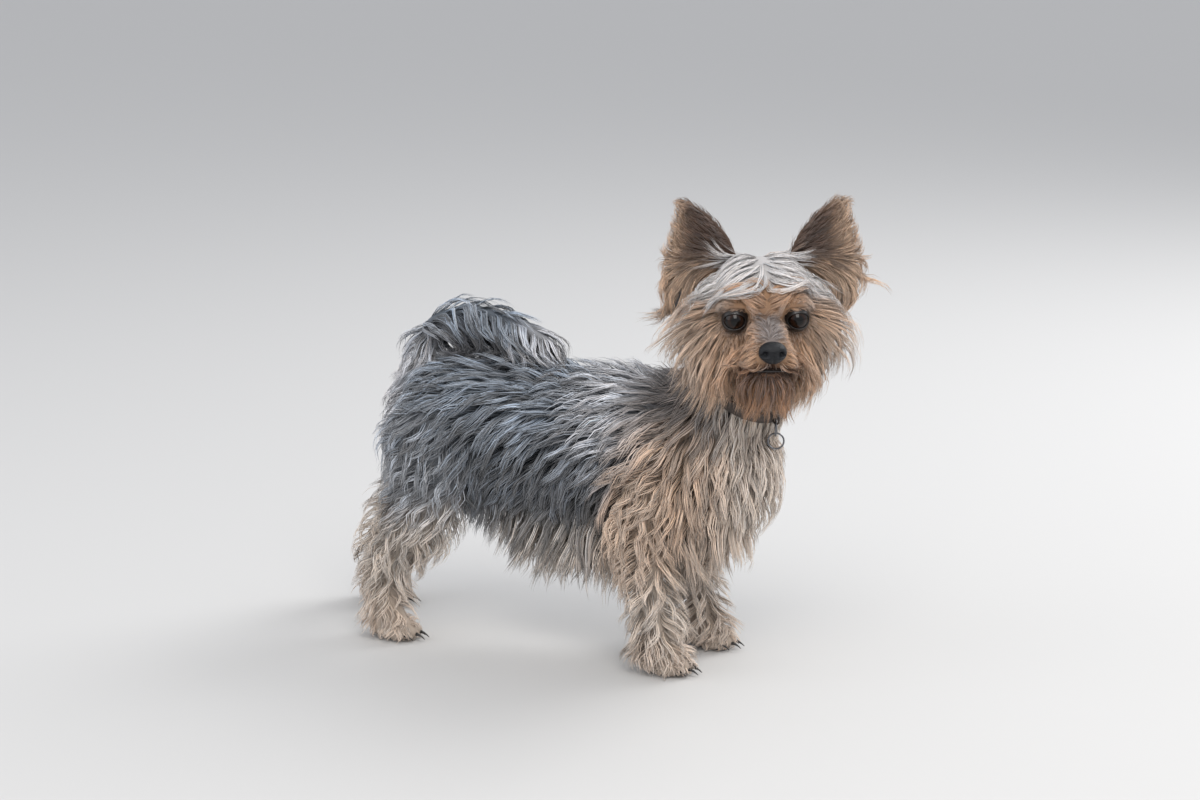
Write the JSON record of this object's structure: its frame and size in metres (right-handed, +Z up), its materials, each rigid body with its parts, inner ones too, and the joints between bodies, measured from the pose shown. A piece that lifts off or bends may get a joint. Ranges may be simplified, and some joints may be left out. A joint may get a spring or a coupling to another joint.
{
  "type": "yorkshire terrier",
  "caption": "Still, life-size model of a small long-coated terrier standing with its head turned to its right and its tail curled over its back, with a collar and linked rings.",
  "frame": {"origin": "middle of the bounding box at floor level, under the dog", "axes": "+X the way the trunk faces, +Y the dog's left, +Z up; the dog stands on z = 0"},
  "size_m": [0.4488, 0.1634, 0.3576],
  "materials": {
    "tan_coat": "long silky tan hair",
    "pale_coat": "long silky pale fawn hair",
    "steel_coat": "long silky steel-grey hair",
    "eye": "wet, glossy, near black",
    "nose_leather": "fine-grained damp black",
    "collar_strap": "dark brown, worn",
    "ring_metal": "dark gunmetal wire"
  },
  "bodies": {
    "root": {"head": "tan_coat", "nose": "nose_leather", "eye_right": "eye", "eye_left": "eye", "ear_right": "tan_coat", "ear_left": "tan_coat", "neck": "pale_coat", "torso": "steel_coat", "tail_base": "steel_coat", "tail_tip": "steel_coat", "foreleg_right": "tan_coat", "foreleg_left": "tan_coat", "hindleg_right": "tan_coat", "hindleg_left": "tan_coat", "collar": "collar_strap", "ring_upper": "ring_metal", "ring_lower": "ring_metal"}
  },
  "joints": []
}
